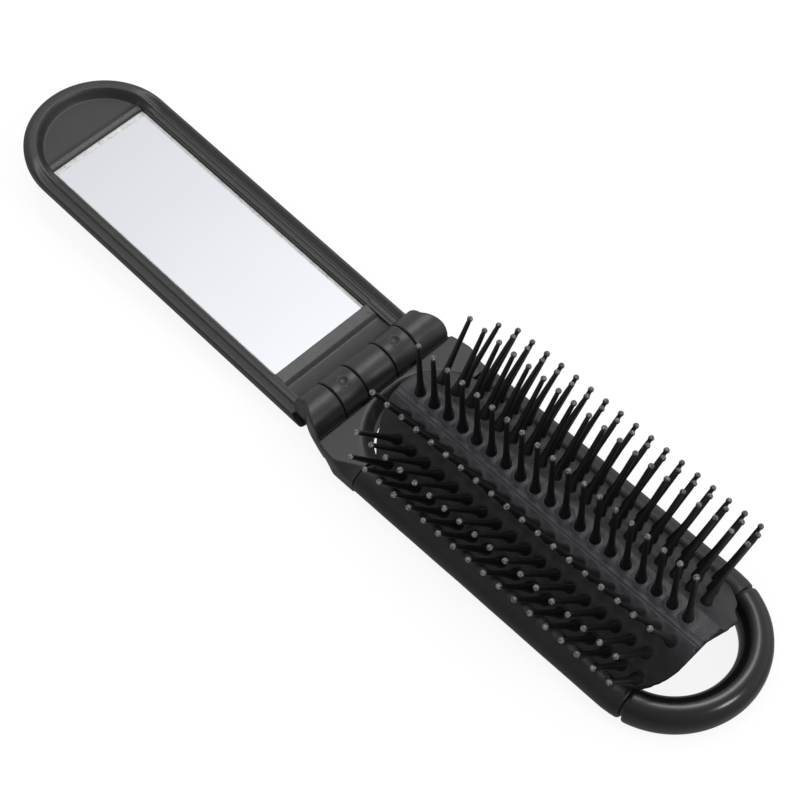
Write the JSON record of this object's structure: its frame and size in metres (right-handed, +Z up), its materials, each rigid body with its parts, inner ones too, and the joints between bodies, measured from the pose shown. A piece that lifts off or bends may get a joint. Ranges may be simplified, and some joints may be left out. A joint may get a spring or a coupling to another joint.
{
  "type": "folding hairbrush with mirror",
  "caption": "Pocket hairbrush whose mirror lid swings open on a barrel hinge as rows of ball-tipped bristles pop up from a rubber pad; a loop forms the handle end.",
  "frame": {"origin": "flat underside of the hinge plate, straight below the hinge axis, on the mirror plane of the body", "axes": "+X from the hinge towards the loop, +Y across the brush, +Z up out of the bristle side"},
  "size_m": [0.2151, 0.0488, 0.0328],
  "materials": {
    "satin_plastic": "satin charcoal moulded plastic",
    "gloss_black": "gloss black moulded plastic",
    "steel": "drawn steel wire",
    "mirror": "silvered glass with a clear edge",
    "adhesive": "double-sided adhesive sheet",
    "pad_rubber": "matte black rubber",
    "pin_nylon": "matte black nylon",
    "bead_resin": "grey dipped resin"
  },
  "bodies": {
    "brush": {"end_plate": "satin_plastic", "bow_handle": "gloss_black", "hinge_pin": "steel", "rubber_pad": "pad_rubber"},
    "lid": {"lid_frame": "satin_plastic", "mirror_glass": "mirror", "mirror_adhesive": "adhesive"},
    "row_centre": {"pins_centre": "pin_nylon", "beads_centre": "bead_resin"},
    "row_left_inner": {"pins_left_inner": "pin_nylon", "beads_left_inner": "bead_resin"},
    "row_right_inner": {"pins_right_inner": "pin_nylon", "beads_right_inner": "bead_resin"},
    "row_left_middle": {"pins_left_middle": "pin_nylon", "beads_left_middle": "bead_resin"},
    "row_right_middle": {"pins_right_middle": "pin_nylon", "beads_right_middle": "bead_resin"},
    "row_left_outer": {"pins_left_outer": "pin_nylon", "beads_left_outer": "bead_resin"},
    "row_right_outer": {"pins_right_outer": "pin_nylon", "beads_right_outer": "bead_resin"}
  },
  "joints": [
    {"name": "lid_fold", "type": "hinge", "parent": "brush", "child": "lid", "pos_m": [0, 0, 0.0072], "axis": [0, 1, 0], "range_deg": [0, 176.5], "deforming": ["rubber_pad"]},
    {"name": "drop_centre", "type": "slide", "parent": "brush", "child": "row_centre", "axis": [0, 0, -1], "range_m": [0, 0.0229]},
    {"name": "tuck_left_inner", "type": "hinge", "parent": "brush", "child": "row_left_inner", "pos_m": [0.055, -0.0491, 0.0014], "axis": [-1, 0, 0], "range_deg": [0, 27.9]},
    {"name": "tuck_right_inner", "type": "hinge", "parent": "brush", "child": "row_right_inner", "pos_m": [0.055, 0.0491, 0.0014], "axis": [1, 0, 0], "range_deg": [0, 27.9]},
    {"name": "tuck_left_middle", "type": "hinge", "parent": "brush", "child": "row_left_middle", "pos_m": [0.055, -0.0345, 0], "axis": [-1, 0, 0], "range_deg": [0, 41]},
    {"name": "tuck_right_middle", "type": "hinge", "parent": "brush", "child": "row_right_middle", "pos_m": [0.055, 0.0345, 0], "axis": [1, 0, 0], "range_deg": [0, 41]},
    {"name": "tuck_left_outer", "type": "hinge", "parent": "brush", "child": "row_left_outer", "pos_m": [0.055, -0.0347, -0.0032], "axis": [-1, 0, 0], "range_deg": [0, 39.4]},
    {"name": "tuck_right_outer", "type": "hinge", "parent": "brush", "child": "row_right_outer", "pos_m": [0.055, 0.0347, -0.0032], "axis": [1, 0, 0], "range_deg": [0, 39.4]}
  ],
  "couplings": [
    {"joint": "drop_centre", "follows": "lid_fold", "m_per_rad": 0.0074335},
    {"joint": "tuck_left_inner", "follows": "lid_fold", "ratio": 0.15807},
    {"joint": "tuck_right_inner", "follows": "lid_fold", "ratio": 0.15807},
    {"joint": "tuck_left_middle", "follows": "lid_fold", "ratio": 0.23229},
    {"joint": "tuck_right_middle", "follows": "lid_fold", "ratio": 0.23229},
    {"joint": "tuck_left_outer", "follows": "lid_fold", "ratio": 0.22323},
    {"joint": "tuck_right_outer", "follows": "lid_fold", "ratio": 0.22323}
  ]
}
